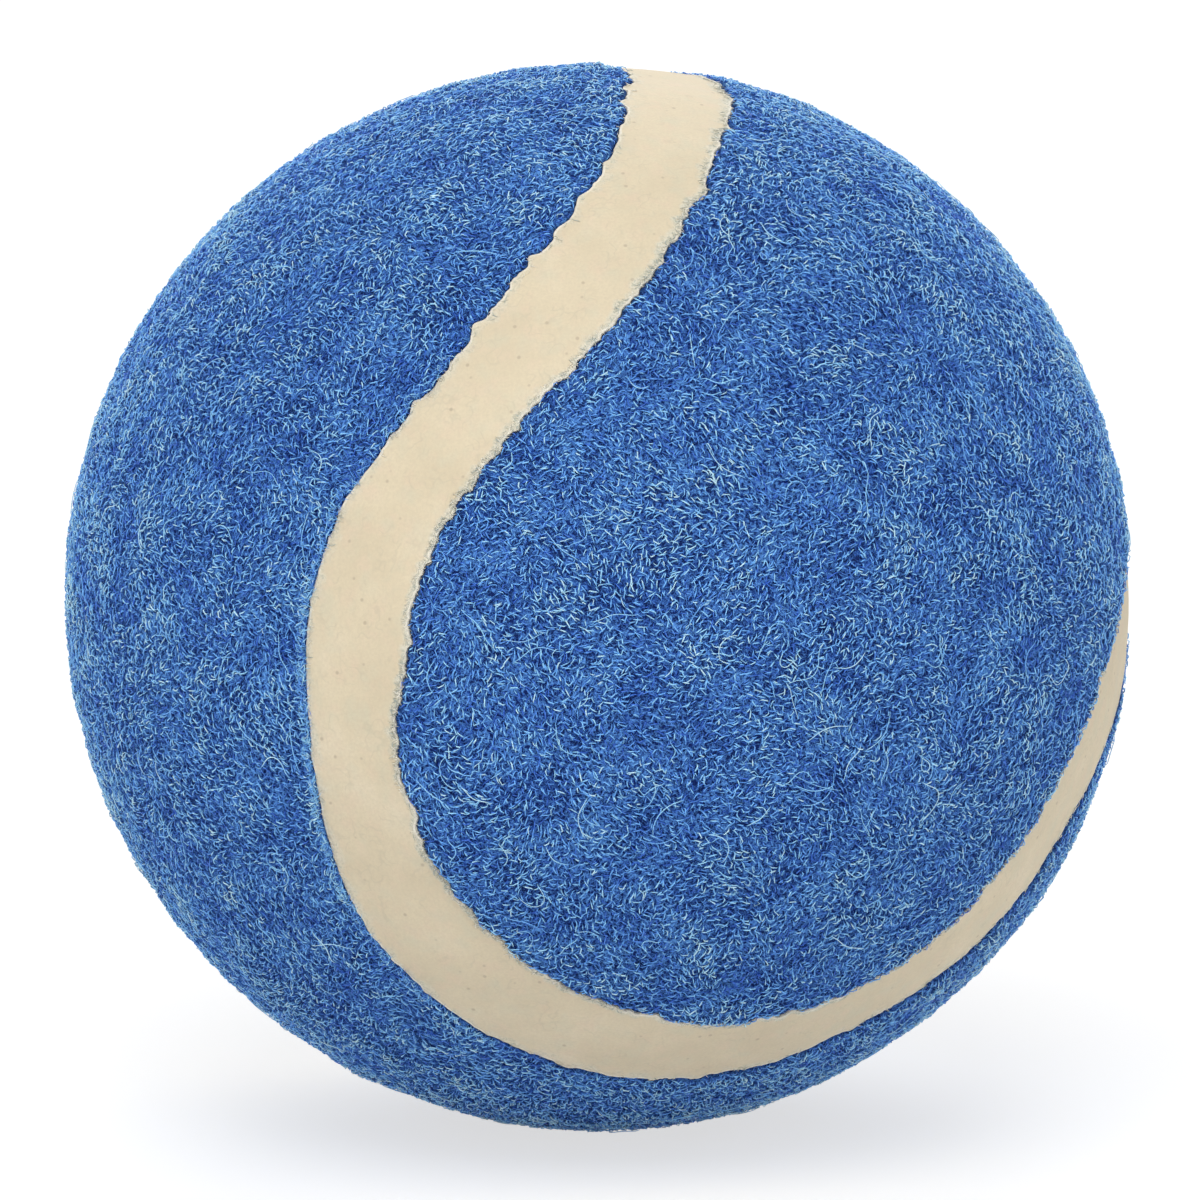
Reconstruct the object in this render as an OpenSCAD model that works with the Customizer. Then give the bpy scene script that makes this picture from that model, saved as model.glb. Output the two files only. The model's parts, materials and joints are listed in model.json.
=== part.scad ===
// Tennis ball: a hollow rubber core moulded in two halves, cemented together and covered with two
// felt panels. The panels interlock along one closed seam, which a wide band of pale rubber fills.
// The origin is the centre of the ball. +Z is square to the plane where the core's halves meet.

/* [Ball] */
// Diameter over the nap of the felt
ball_d = 66; // [60:0.5:72]

/* [Core] */
// Wall of each rubber half
core_wall = 3.2; // [2.4:0.1:4.5]
// Thickness of the cement between the two rims
rim_cement_t = 0.25; // [0.1:0.05:0.6]
// Bevel round the inner edge of each rim, which the cement fills
rim_bevel = 0.7; // [0.3:0.1:1.5]

/* [Cover] */
// Thickness of the cement coat round the whole core
coat_t = 0.2; // [0.1:0.05:0.5]
// Thickness of the rubber backing under each felt panel
backing_t = 0.3; // [0.2:0.1:0.8]
// Thickness of the felt, nap included
felt_t = 2.5; // [1.6:0.1:3.5]
// How far the rolled lip of the felt drops towards the seam
lip_drop = 1; // [0.6:0.1:1.4]
// How far the rolled lip reaches back from the seam
lip_back = 1.1; // [0.6:0.1:1.6]

/* [Seam] */
// Width of the channel between the two felt panels
band_w = 6.2; // [4:0.1:8]
// How far the rubber in the channel lies below the nap
band_sink = 0.4; // [0.2:0.05:0.9]
// How far the hand-laid edges stray from the even channel
edge_sway = 0.5; // [0:0.05:0.7]
// How strongly the seam bends into its lobes, as a share of its round path
bend_share = 0.235; // [0.2:0.005:0.3]
// How far the lobes are squared off, as a share of its round path
square_share = 0.055; // [0:0.005:0.08]

/* [How the cover lies on the core] */
// Turn about X in degrees
turn_x = 143.2; // [-180:0.1:180]
// Then the turn about Y in degrees
turn_y = 28.2; // [-180:0.1:180]
// Then the turn about Z in degrees
turn_z = -33.1; // [-180:0.1:180]

/* [Hidden] */
$fn = 180;

// How far a cut runs past what it cuts
over = 0.4;

// Radii from the nap inwards, each layer seated on the next
ball_r = ball_d / 2;
felt_r = ball_r - felt_t;
backing_r = felt_r - backing_t;
core_r = backing_r - coat_t;
hollow_r = core_r - core_wall;
band_r = ball_r - band_sink;

// Stations round the seam: a multiple of 8, so that each lobe's end falls on one
stations = 240;
step = 360 / stations;
// Spans that carry the outside of a panel's cutting body from edge to edge
spans = 8;

// Low waves of each hand-laid edge: how many go round the seam, how deep as a share of the
// sway, and where they start in degrees
left_counts = [1, 6, 9, 15];
left_depth_shares = [1.1, 0.45, 0.6, 0.55];
left_starts = [85, 205, 145, 55];
right_counts = [1, 4, 6, 12];
right_depth_shares = [1.2, 0.9, 0.85, 0.3];
right_starts = [265, 230, 235, 325];

function unit(v) = v / norm(v);

// The seam on a ball of radius 1: a round path with a wave of three times its turn in the plane
// and of twice its turn along the axis, drawn out onto the ball. It parts the ball into two
// like panels, each with a waist between two lobes.
function seam_at(t) = unit([
    cos(t) + bend_share * cos(3 * t) - square_share * cos(5 * t),
    sin(t) - bend_share * sin(3 * t) - square_share * sin(5 * t),
    2 * sqrt(bend_share) * sin(2 * t) - square_share * sin(6 * t)]);
function across_at(t) = unit(cross(seam_at(t), seam_at(t + step) - seam_at(t - step)));

// Distance over the ball from the seam to a panel's wall. side is 1 for the left panel and -1
// for the right one
function wall_gap(t, side) =
    let (counts = side > 0 ? left_counts : right_counts,
        starts = side > 0 ? left_starts : right_starts,
        depth_shares = side > 0 ? left_depth_shares : right_depth_shares,
        waves = [for (k = [0 : len(counts) - 1]) sin(counts[k] * t + starts[k])])
    band_w / 2 + edge_sway * (depth_shares * waves);

// Profile of a panel's edge as [radius, setback from the wall]: the upright wall ends where the
// lip starts, the lip rolls back in even turns of an arc, and its tangent leads out of the ball
lip_turn = 60;
lip_steps = 2;
lip_profile = [for (k = [0 : lip_steps])
    let (a = lip_turn * k / lip_steps)
    [ball_r - lip_drop * (1 - sin(a)), lip_back * (1 - cos(a))]];
lip_slope = lip_back * sin(lip_turn) / (lip_drop * cos(lip_turn));
lip_top = lip_profile[lip_steps];
edge_profile = concat(lip_profile,
    [[ball_r + over, lip_top[1] + (ball_r + over - lip_top[0]) * lip_slope]]);
rings = len(edge_profile);

// Direction from the centre to a panel's edge at station i, set back over the ball
function edge_dir(i, side, setback) =
    let (t = i * step, turn = (wall_gap(t, side) + setback) / ball_r * 180 / PI)
    cos(turn) * seam_at(t) + side * sin(turn) * across_at(t);
function edge_points(i, side) =
    [for (ring = edge_profile) ring[0] * edge_dir(i, side, ring[1])];

function backwards(list) = [for (k = [len(list) - 1 : -1 : 0]) list[k]];
// Two triangles of the four-sided face a, b, c, d, parted from a to c. One with a corner that
// falls together with the next is left out
function split(a, b, c, d) =
    [for (f = [[a, b, c], [a, c, d]]) if (f[0] != f[1] && f[1] != f[2] && f[2] != f[0]) f];

// Body that cuts one panel out of a shell: a skin through rows that run from edge to edge, square
// to the line between the two lobes' ends, closed inwards to a point at the centre
module panel_cutter(side) {
    lobe_end = -side * stations / 8;
    rows = stations / 2;
    row_len = 2 * rings + spans - 1;
    function row_points(j) =
        let (near = edge_points(lobe_end + j, side), far = edge_points(lobe_end - j, side),
            a = near[rings - 1], b = far[rings - 1], angle = acos(min(1, unit(a) * unit(b))))
        concat(near,
            [for (m = [1 : spans - 1]) let (s = m / spans)
                j == 0 || j == rows ? a : (sin((1 - s) * angle) * a + sin(s * angle) * b) / sin(angle)],
            backwards(far));
    function fold(m) = min(m, rings - 1, row_len - 1 - m);
    function id(j, m) = 1 + j * row_len + (j == 0 || j == rows ? fold(m) : m);
    skin = [for (j = [0 : rows - 1], m = [0 : row_len - 2])
        each split(id(j, m), id(j + 1, m), id(j + 1, m + 1), id(j, m + 1))];
    point = [for (j = [0 : rows - 1], m = [0, row_len - 1])
        m == 0 ? [0, id(j + 1, 0), id(j, 0)] : [0, id(j, m), id(j + 1, m)]];
    faces = concat(skin, point);
    polyhedron(concat([[0, 0, 0]], [for (j = [0 : rows]) each row_points(j)]),
        side > 0 ? [for (f = faces) backwards(f)] : faces);
}

// Body that cuts the channel out of a shell: one closed loop along the seam, with the two panels'
// own walls and lips for its sides
module channel_cutter() {
    foot_r = core_r - over;
    ring_len = 2 * rings + 3;
    function loop_points(i) = concat(
        [foot_r * edge_dir(i, 1, 0)], edge_points(i, 1),
        [(ball_r + over) * seam_at(i * step)],
        backwards(edge_points(i, -1)), [foot_r * edge_dir(i, -1, 0)]);
    function id(i, m) = (i % stations) * ring_len + m % ring_len;
    function face(i, m) = m < rings
        ? split(id(i, m), id(i + 1, m), id(i + 1, m + 1), id(i, m + 1))
        : split(id(i + 1, m), id(i + 1, m + 1), id(i, m + 1), id(i, m));
    polyhedron([for (i = [0 : stations - 1]) each loop_points(i)],
        [for (i = [0 : stations - 1], m = [0 : ring_len - 1]) each face(i, m)]);
}

module shell(outer_r, inner_r) {
    difference() {
        sphere(r = outer_r);
        sphere(r = inner_r);
    }
}

// A layer of the cover, whose sphere is turned so that its own seam meets the band squarely
sphere_turn = 50;
module cover_layer(outer_r, inner_r) {
    rotate([turn_x, turn_y, turn_z]) intersection() {
        rotate([0, 0, sphere_turn]) shell(outer_r, inner_r);
        children();
    }
}

// Space between the rims: a flat gap that opens inwards between the two bevels
module rim_gap() {
    half_t = rim_cement_t / 2;
    mouth = half_t + rim_bevel + over;
    rotate_extrude() polygon([
        [hollow_r - over, -mouth], [hollow_r + rim_bevel, -half_t], [core_r + over, -half_t],
        [core_r + over, half_t], [hollow_r + rim_bevel, half_t], [hollow_r - over, mouth]]);
}

// The lower half of the core, rim upwards
module core_half() {
    reach = core_r + over;
    difference() {
        intersection() {
            shell(core_r, hollow_r);
            translate([0, 0, -reach]) cylinder(r = reach, h = reach);
        }
        rim_gap();
    }
}

module core_half_lower() {
    color([0.23, 0.23, 0.24]) core_half();
}

module core_half_upper() {
    color([0.27, 0.27, 0.28]) mirror([0, 0, 1]) core_half();
}

module core_joint_ring() {
    color([0.62, 0.52, 0.36]) intersection() {
        shell(core_r, hollow_r);
        rim_gap();
    }
}

module cover_cement() {
    color([0.70, 0.62, 0.47]) shell(backing_r, core_r);
}

module backing_left() {
    color([0.76, 0.72, 0.64]) cover_layer(felt_r, backing_r) panel_cutter(1);
}

module backing_right() {
    color([0.76, 0.72, 0.64]) cover_layer(felt_r, backing_r) panel_cutter(-1);
}

module felt_panel_left() {
    color([0.25, 0.42, 0.68]) cover_layer(ball_r, felt_r) panel_cutter(1);
}

module felt_panel_right() {
    color([0.25, 0.42, 0.68]) cover_layer(ball_r, felt_r) panel_cutter(-1);
}

module seam_band() {
    color([0.86, 0.81, 0.70]) cover_layer(band_r, backing_r) channel_cutter();
}

core_half_lower();
core_half_upper();
core_joint_ring();
cover_cement();
backing_left();
backing_right();
felt_panel_left();
felt_panel_right();
seam_band();
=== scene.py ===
"""Looks of a tennis ball: blue felt panels with their nap, and the pale rubber band between them.

Lengths are in millimetres until a mesh is made, which is in metres. A place on the cover is given
by t, the angle round the closed seam, and by how far it lies from a felt panel's cut edge.
"""
import json
import math

import bpy
import numpy as np
from mathutils import Euler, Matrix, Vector


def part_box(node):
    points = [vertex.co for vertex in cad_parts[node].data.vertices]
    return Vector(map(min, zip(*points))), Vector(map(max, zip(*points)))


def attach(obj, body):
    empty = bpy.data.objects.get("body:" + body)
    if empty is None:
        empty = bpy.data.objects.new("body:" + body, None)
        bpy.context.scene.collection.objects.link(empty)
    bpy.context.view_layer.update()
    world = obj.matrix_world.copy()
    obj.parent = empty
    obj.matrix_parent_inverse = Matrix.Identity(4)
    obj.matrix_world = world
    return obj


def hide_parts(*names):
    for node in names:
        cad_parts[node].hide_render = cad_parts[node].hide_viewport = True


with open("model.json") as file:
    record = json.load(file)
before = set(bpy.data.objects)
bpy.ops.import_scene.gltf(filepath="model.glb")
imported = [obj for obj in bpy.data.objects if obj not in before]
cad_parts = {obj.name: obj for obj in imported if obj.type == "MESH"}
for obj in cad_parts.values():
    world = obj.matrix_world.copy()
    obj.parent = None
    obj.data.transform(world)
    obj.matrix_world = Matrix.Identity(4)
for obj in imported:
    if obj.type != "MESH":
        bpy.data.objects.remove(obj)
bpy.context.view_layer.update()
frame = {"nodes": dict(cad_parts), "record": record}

MM = 0.001
BODY = "root"
LEFT, RIGHT = 1, -1


def reach_of(*nodes):
    """How far the nodes reach from the centre of the ball: the largest coordinate of their boxes."""
    return max(abs(x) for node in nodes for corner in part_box(node) for x in corner) / MM


# Radii of the layers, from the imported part
BALL_R = frame["record"]["mounts"][0]["dims"]["r_mm"]
BAND_R = reach_of("seam_band")
FELT_R = reach_of("backing_left", "backing_right")
BACKING_R = reach_of("cover_cement")

# The seam's path and the low waves of the two cut edges, as in the part's source
BEND_SHARE = 0.235
SQUARE_SHARE = 0.055
COVER_TURN = np.array(Euler([math.radians(a) for a in (143.2, 28.2, -33.1)]).to_matrix())
BAND_W = 6.2
EDGE_SWAY = 0.5
EDGE_WAVES = {
    LEFT: ((1, 1.1, 85), (6, 0.45, 205), (9, 0.6, 145), (15, 0.55, 55)),
    RIGHT: ((1, 1.2, 265), (4, 0.9, 230), (6, 0.85, 235), (12, 0.3, 325)),
}
# How far behind the part's upright wall the rolled lip meets the top of the band
LIP_MEETING = {LEFT: 0.26, RIGHT: 0.15}
# The seam's length in ball radii
SEAM_LENGTH_SHARE = 9.4
# Stations round the seam in the meshes, and in the table that finds the nearest place on it
STATIONS = 1800
TABLE_STATIONS = 720

# The small raggedness of the cut edges, in sets of waves from long to fine: the range of their
# counts round the seam, and their depth on the left and on the right edge
RAGGED_WAVES = 12
RAGGED_SEEDS = {LEFT: 3600, RIGHT: 475}
RAGGED_SETS = (
    ((18, 50), {LEFT: 0.13, RIGHT: 0.16}),
    ((50, 150), {LEFT: 0.15, RIGHT: 0.13}),
    ((150, 420), {LEFT: 0.06, RIGHT: 0.06}),
)
# How deep the notches and bulges are, as a share of their set's depth, and how round they stay
NOTCH_SHARE = 0.7
NOTCH_ROUNDING = 0.2

# The felt under the nap: how far its ground lies below the outside of the ball, its rolled lip,
# the steps of its mesh and its soft lumps
NAP_H = 0.32
GROUND_R = BALL_R - NAP_H
LIP_DROP = 0.2
LIP_BACK = 0.4
LIP_STEPS = 4
WALL_STEPS = 2
FELT_SPANS = 36
FELT_INNER_SPANS = 8
LUMP_SEED = 7
LUMP_WAVES = 40
LUMP_SPAN = (2.0, 6.0)
LUMP_DEPTH = 0.05

# The rubber band: its gap to the felt, its rounded corner, its raised rim, the steps of its mesh
# and its low swells, which are as long as the felt's lumps divided by SWELL_SHARE
BAND_GAP = 0.035
BAND_ROUND = 0.06
BAND_BENDS = 3
BAND_RIM = 0.05
BAND_RIM_W = 0.45
BAND_SPANS = 16
BAND_SWELL = 0.03
SWELL_SHARE = 0.45

# Every fibre: how blunt its ends are, and the margin of its cell in the UV map
FIBRE_TAPER = 0.3
CELL_MARGIN = 0.08

# The nap: curled fibres whose ends sink into the felt and whose middles rise over it, with the
# top of the arch moved along them by NAP_SKEW. NAP_FIBRES are spread over the whole ball, shaken
# by NAP_SHAKE of their spacing, and a panel keeps those that stand on it, clear of its wall. A
# few reach over the band, where they lie just above it
NAP_FIBRES = 140000
NAP_PARTS = 4
NAP_SEED = 400
NAP_SHAKE = 0.4
NAP_SEGMENTS = 3
NAP_LENGTH = (0.45, 1.1)
NAP_RADIUS = (0.034, 0.050)
NAP_SINK = 0.05
NAP_RISE = (0.1, 0.32)
NAP_SKEW = (0.7, 1.4)
NAP_CLEAR = 0.05
NAP_OVERHANG = 0.1
NAP_OVER_BAND = 0.03
# Spread of a fibre's turn in radians per millimetre, and of its sway in radians
NAP_BEND = 1.7
NAP_CURL = 0.5
# Share of the fibres that follow the combing, how far they stray from it in radians, and the slow
# waves of the combing, with their length in millimetres
COMBED_SHARE = 0.6
COMBED_STRAY = 0.5
COMBING_SEED = 31
COMBING_WAVES = 12
COMBING_SPAN = (7, 18)
# How pale a fibre is dyed, from 0 to 1: the middle, the spread, the most, and the share of fibres
# that are as pale as can be, which are painted glints. Towards the cut edge it drops: painted shade
# of the crevice between the felt and the band
NAP_TONE = 0.46
NAP_TONE_SPREAD = 0.24
NAP_TONE_MOST = 0.9
GLINT_SHARE = 0.01
NAP_EDGE_SHADE = 0.25
NAP_EDGE_W = 0.35
# More and finer fibres of the left panel that are brushed out over the band: where along the
# seam, over how much of it, how far behind the wall they stand, how far they stray in radians,
# how fine they are, how far they reach over the band and how high above it
BRUSHED_FIBRES = 1500
BRUSHED_AT = math.radians(62)
BRUSHED_SPREAD = math.radians(14)
BRUSHED_SETBACK = (-0.1, 0.4)
BRUSHED_STRAY = 0.9
BRUSHED_FINENESS = 0.6
BRUSHED_OVERHANG = 0.6
BRUSHED_LIFT = 0.1
# How much longer the brushed edge is than its fibres' spread, and how much calmer it runs
BRUSHED_EDGE_SHARE = 1.6
BRUSHED_CALM = 0.7

# Long loose fibres that lie on the nap, clear of the band, with ends that sink in steeply
LOOSE_FIBRES = 750
LOOSE_SEED = 600
LOOSE_SEGMENTS = 12
LOOSE_LENGTH = (1.5, 4.0)
LOOSE_RADIUS = (0.026, 0.038)
LOOSE_RISE = (0.22, 0.31)
LOOSE_STEEPNESS = 3
LOOSE_CLEAR = 0.3
LOOSE_STRAY = 0.9
LOOSE_BEND = 0.5
LOOSE_CURL = 0.6
LOOSE_TONE = (0.3, 0.75)

# Short fibres soaked in the band's rubber: how wide their strip is, how many stand along a
# millimetre of each edge, and how they lie in the strip
SOAKED_W = (0.36, 0.75)
FRINGE_PER_MM = {LEFT: 2, RIGHT: 13}
FRINGE_SEED = 900
FRINGE_SEGMENTS = 4
FRINGE_LENGTH = (0.3, 0.8)
FRINGE_RADIUS = (0.018, 0.032)
FRINGE_INSET = 0.05
FRINGE_STRIP_SHARE = 0.6
FRINGE_STRAY = 0.9
FRINGE_BEND = 1.5
FRINGE_CURL = 0.4
FRINGE_ARCH = (0.02, 0.05)
FRINGE_SINK = 0.025
# Where a soaked fibre climbs from the band onto the felt: how far before the wall it starts, how
# long it takes, and how high it then lies over the felt
CLIMB_START = 0.12
CLIMB_W = 0.2
CLIMB_H = 0.05


def unit(v):
    """The vectors v, each brought to length 1."""
    return v / np.linalg.norm(v, axis=-1, keepdims=True)


def smooth(x):
    """0 below 0 and 1 above 1, with an even S between them."""
    x = np.clip(x, 0, 1)
    return x * x * (3 - 2 * x)


def seam_at(t):
    """Direction of the seam at the angles t: a round path with waves of three and five times its
    turn in the plane and of two and six times along the axis, drawn out onto the ball of radius 1
    and turned as the cover lies on the core."""
    path = np.stack([
        np.cos(t) + BEND_SHARE * np.cos(3 * t) - SQUARE_SHARE * np.cos(5 * t),
        np.sin(t) - BEND_SHARE * np.sin(3 * t) - SQUARE_SHARE * np.sin(5 * t),
        2 * math.sqrt(BEND_SHARE) * np.sin(2 * t) - SQUARE_SHARE * np.sin(6 * t)], -1)
    return unit(path) @ COVER_TURN.T


def along_at(t):
    """The seam's own step per radian of t, as the difference of two close points."""
    small = math.radians(0.1)
    return (seam_at(t + small) - seam_at(t - small)) / (2 * small)


def across_at(t):
    """Direction square to the seam within the ball's surface, towards the left panel."""
    return unit(np.cross(seam_at(t), along_at(t)))


def brushed_share(t, side):
    """How far an edge's fibres are brushed out over the band: a bell round BRUSHED_AT on the left
    edge, and 0 on the right one."""
    off = np.angle(np.exp(1j * (t - BRUSHED_AT))) / (BRUSHED_EDGE_SHARE * BRUSHED_SPREAD)
    return np.exp(-off ** 4) * (side == LEFT)


def ragged(t, side):
    """Small raggedness of a cut edge: for each set a sum of seeded waves, bent so that the felt's
    notches are sharper than its bulges. It is calmer where the fibres are brushed out."""
    rng = np.random.default_rng(RAGGED_SEEDS[side])
    total = 0
    for counts, depth in RAGGED_SETS:
        count = rng.integers(*counts, RAGGED_WAVES)
        start = rng.uniform(0, 2 * math.pi, RAGGED_WAVES)
        wave = np.sin(np.multiply.outer(t, count) + start).sum(-1) * math.sqrt(2 / RAGGED_WAVES)
        bent = wave + np.sqrt(wave ** 2 + NOTCH_ROUNDING) - 1
        total = total + depth[side] * NOTCH_SHARE * bent
    return total * (1 - BRUSHED_CALM * brushed_share(t, side))


def wall_gap(t, side):
    """Distance over the ball from the seam to where a panel meets the top of the band: half the
    channel, the low waves of the hand-laid edge, the set of its lip and its small raggedness."""
    sway = sum(share * np.sin(count * t + math.radians(start))
               for count, share, start in EDGE_WAVES[side])
    return BAND_W / 2 + LIP_MEETING[side] + EDGE_SWAY * sway + ragged(t, side)


def soaked_width(t):
    """Width of the strip beside the felt in which its fibres are soaked into the band: it swells
    once and shrinks once round the seam."""
    return SOAKED_W[0] + (SOAKED_W[1] - SOAKED_W[0]) * np.sin(t / 2) ** 2


def edge_dir(t, side, setback):
    """Direction of the point that lies setback behind a panel's wall, over the ball."""
    turn = ((wall_gap(t, side) + setback) / BALL_R)[..., None]
    return np.cos(turn) * seam_at(t) + side * np.sin(turn) * across_at(t)


def between(a, b, share):
    """Directions along the great circle from a to b, at each share of the way."""
    angle = np.arccos(np.clip(np.sum(a * b, -1), -1, 1))[..., None, None]
    safe = np.maximum(angle, 1e-6)
    s = share[:, None]
    part = (np.sin((1 - s) * safe) * a[..., None, :] + np.sin(s * safe) * b[..., None, :])
    return unit(part)


def place_on_cover(p):
    """For each direction p: its side of the seam, how far it lies behind that panel's wall, and
    its angle t. The nearest of many seam stations is found first, a chunk of directions at a time
    to save memory. Then t is moved on by the part of p that lies along the seam there, and the
    part across it gives the distance."""
    table = np.linspace(0, 2 * math.pi, TABLE_STATIONS, endpoint=False)
    seam, along, across = seam_at(table), along_at(table), across_at(table)
    chunk_len = 8000
    chunks = np.array_split(p, max(1, len(p) // chunk_len))
    nearest = np.concatenate([np.argmax(c @ seam.T, 1) for c in chunks])
    speed = np.sum(along[nearest] ** 2, -1)
    t = table[nearest] + np.sum(p * along[nearest], -1) / speed
    off = np.arcsin(np.clip(np.sum(p * across[nearest], -1), -1, 1)) * BALL_R
    side = np.where(off > 0, LEFT, RIGHT)
    gap = np.where(off > 0, wall_gap(t, LEFT), wall_gap(t, RIGHT))
    return side, np.abs(off) - gap, t


def lumps(p):
    """Low, soft lumps of the felt at each direction p: a sum of seeded plane waves through space,
    a few millimetres long."""
    rng = np.random.default_rng(LUMP_SEED)
    heading = unit(rng.normal(size=(LUMP_WAVES, 3)))
    count = 2 * math.pi * BALL_R / rng.uniform(*LUMP_SPAN, LUMP_WAVES)
    start = rng.uniform(0, 2 * math.pi, LUMP_WAVES)
    wave = np.sin(p @ (heading * count[:, None]).T + start).sum(-1)
    return LUMP_DEPTH * wave * math.sqrt(2 / LUMP_WAVES)


def band_swell(p):
    """Low swells of the band at each direction p: the felt's lumps, drawn out longer and with the
    band's own depth."""
    return BAND_SWELL * lumps(p * SWELL_SHARE) / LUMP_DEPTH


def lip_radius(setback):
    """Radius of the felt's ground behind its wall: a quarter of an ellipse that drops LIP_DROP
    over the last LIP_BACK before the wall. Past the wall it stays at the wall's top."""
    share = 1 - np.clip(setback / LIP_BACK, 0, 1)
    return GROUND_R - LIP_DROP * (1 - np.sqrt(1 - share ** 2))


def make_piece(name, points, faces, uv=None, values=None):
    """A mesh piece from arrays: points in millimetres, triangles as rows of three point numbers,
    an optional UV pair for each corner, and optional named values for each point."""
    mesh = bpy.data.meshes.new(name)
    mesh.vertices.add(len(points))
    mesh.vertices.foreach_set("co", (points * MM).astype(np.float32).ravel())
    mesh.loops.add(faces.size)
    mesh.loops.foreach_set("vertex_index", faces.astype(np.int32).ravel())
    mesh.polygons.add(len(faces))
    mesh.polygons.foreach_set("loop_start", np.arange(0, faces.size, 3, dtype=np.int32))
    mesh.polygons.foreach_set("use_smooth", np.ones(len(faces), bool))
    if uv is not None:
        layer = mesh.uv_layers.new(name="OFBake")
        layer.data.foreach_set("uv", uv.astype(np.float32).ravel())
    for key, value in (values or {}).items():
        attribute = mesh.attributes.new(key, "FLOAT", "POINT")
        attribute.data.foreach_set("value", value.astype(np.float32))
    mesh.update(calc_edges=True)
    mesh.validate()
    piece = bpy.data.objects.new(name, mesh)
    bpy.context.scene.collection.objects.link(piece)
    return piece


def grid_faces(ids):
    """Two triangles for each cell of a grid of point numbers, left out where corners fall
    together."""
    a, b, c, d = ids[:-1, :-1], ids[1:, :-1], ids[1:, 1:], ids[:-1, 1:]
    faces = np.concatenate([np.stack([a, b, c], -1).reshape(-1, 3),
                            np.stack([a, c, d], -1).reshape(-1, 3)])
    whole = (faces != np.roll(faces, 1, axis=1)).all(1)
    return faces[whole]


def felt_panel(name, side):
    """One felt panel as a closed shell. Each row is a ring through the panel, square to the line
    between its two lobes' ends: up the near wall, round its lip, over the ball with the felt's
    lumps, down the far wall and back along the inner face. The rows run from one lobe's end,
    where near and far fall together, to the other. The points carry their setback from the wall,
    which is 1 past the lip and raised where the edge is brushed out, so that the finish paints less
    shade beside the cut edge there."""
    rows = STATIONS // 2
    lobe_end = -side * math.pi / 4
    turn = np.linspace(0, math.pi, rows + 1)
    lip = np.linspace(0, math.pi / 2, LIP_STEPS + 1)
    radius = np.concatenate([np.linspace(FELT_R, GROUND_R - LIP_DROP, WALL_STEPS + 1)[:-1],
                             GROUND_R - LIP_DROP * (1 - np.sin(lip))])
    setback = np.concatenate([np.zeros(WALL_STEPS), LIP_BACK * (1 - np.cos(lip))])
    softness = np.concatenate([np.zeros(WALL_STEPS), np.sin(lip)])
    rings = len(radius)
    edges = [edge_dir(np.repeat((lobe_end + sign * turn)[:, None], rings, 1), side, setback)
             for sign in (1, -1)]
    near, far = edges[0], edges[1][:, ::-1]
    over = between(near[:, -1], far[:, 0], np.linspace(0, 1, FELT_SPANS + 1)[1:-1])
    under = between(far[:, -1], near[:, 0], np.linspace(0, 1, FELT_INNER_SPANS + 1)[1:-1])
    outside = np.concatenate([near, over, far], 1)
    top = np.full(FELT_SPANS - 1, GROUND_R)
    base = np.concatenate([radius, top, radius[::-1]])
    soft = np.concatenate([softness, np.ones(FELT_SPANS - 1), softness[::-1]])
    height = base + soft * lumps(outside)
    points = np.concatenate([outside * height[..., None], under * FELT_R], 1)
    ring_len = points.shape[1]
    ids = np.arange((rows + 1) * ring_len).reshape(rows + 1, ring_len)
    place = np.arange(ring_len)
    last = 2 * rings + FELT_SPANS - 2
    fold = np.where(place > last, 0, np.minimum(np.minimum(place, rings - 1), last - place))
    for row in (0, rows):
        ids[row] = ids[row, fold]
    ids = np.concatenate([ids, ids[:, :1]], 1)
    faces = grid_faces(ids)
    if side == RIGHT:
        faces = faces[:, ::-1]
    used, faces = np.unique(faces, return_inverse=True)
    behind = np.concatenate([setback, np.ones(FELT_SPANS - 1), setback[::-1],
                             np.zeros(FELT_INNER_SPANS - 1)])
    sign = np.where(np.arange(ring_len) < ring_len / 2, 1, -1)
    brushed = brushed_share(lobe_end + sign * turn[:, None], side)
    values = {"behind": (behind + LIP_BACK * brushed).ravel()[used]}
    return make_piece(name, points.reshape(-1, 3)[used], faces.reshape(-1, 3), values=values)


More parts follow.
